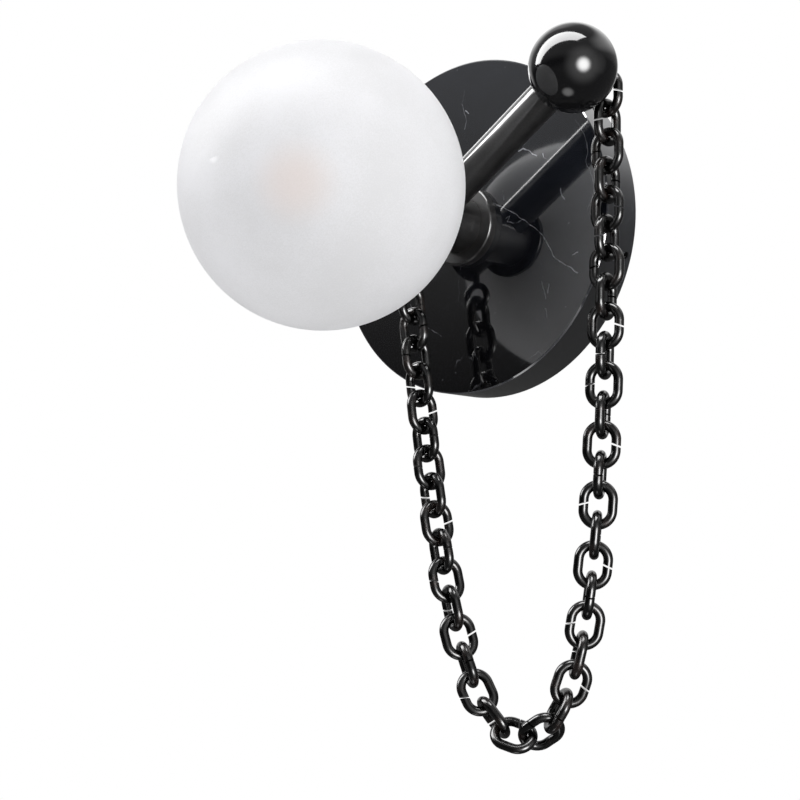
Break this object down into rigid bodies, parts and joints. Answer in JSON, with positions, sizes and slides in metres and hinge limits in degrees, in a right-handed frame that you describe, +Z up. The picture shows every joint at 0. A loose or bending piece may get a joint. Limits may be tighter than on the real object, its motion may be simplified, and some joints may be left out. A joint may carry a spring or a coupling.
{
  "type": "wall light",
  "caption": "Wall light with an opal glass globe and a ball-ended arm on a round stone plate, and a chain that hangs in a long loop from both ends of the arm.",
  "frame": {"origin": "on the wall plane, where the hub's centre line meets it, midway between the two wall screws", "axes": "+Z up, the wall is the plane Y = 0 and the lamp stands out from it along -Y, +X to the viewer's right"},
  "size_m": [0.2262, 0.2276, 0.4016],
  "materials": {
    "black_marble": "polished black marble with thin pale veins",
    "black_gloss": "gloss black plated and lacquered",
    "black_steel": "black plated steel wire, semi-gloss",
    "zinc_steel": "zinc plated",
    "brass": "plain brass",
    "nylon": "natural nylon",
    "fibre": "soft black washer",
    "porcelain": "unglazed white ceramic",
    "lamp_ceramic": "pressed clear glass",
    "lamp_glass": "frosted glass",
    "opal_glass": "satin opal white glass"
  },
  "bodies": {
    "frame": {"wall_pan": "zinc_steel", "earth_screw": "brass", "terminal_block": "nylon", "terminal_screws": "zinc_steel", "marble_plate": "black_marble", "side_grub_screws": "black_steel", "threaded_nipple": "zinc_steel", "rear_washer": "zinc_steel", "rear_nut": "zinc_steel", "hub_gasket": "fibre", "hub_flange": "black_gloss", "hub_body": "black_gloss", "arm_tube": "black_gloss", "arm_end_cap": "black_gloss", "arm_plug": "zinc_steel", "ball_stud": "zinc_steel", "end_ball": "black_gloss", "arm_eye": "black_steel", "ball_staple": "black_steel", "globe_seat": "black_gloss", "seat_nut": "zinc_steel", "lamp_holder": "porcelain"},
    "chain": {"chain_links_01": "black_steel", "chain_links_02": "black_steel", "chain_links_03": "black_steel", "chain_links_04": "black_steel", "chain_links_05": "black_steel", "chain_links_06": "black_steel", "chain_links_07": "black_steel", "chain_links_08": "black_steel", "chain_links_09": "black_steel", "chain_links_10": "black_steel"},
    "globe": {"globe_collar": "black_gloss", "globe_glass": "opal_glass"},
    "lamp": {"lamp_base": "lamp_ceramic", "lamp_pins": "zinc_steel", "lamp_bulb": "lamp_glass"}
  },
  "joints": [
    {"name": "chain_swing", "type": "hinge", "parent": "frame", "child": "chain", "pos_m": [-0.01711, -0.062, -0.03755], "axis": [-0.7602, -0.171, -0.6268], "range_deg": [-1, 2]},
    {"name": "globe_pull", "type": "slide", "parent": "frame", "child": "globe", "axis": [0, -1, 0], "range_m": [0, 0.095]},
    {"name": "lamp_pull", "type": "slide", "parent": "frame", "child": "lamp", "axis": [0, -1, 0], "range_m": [0, 0.012]}
  ]
}
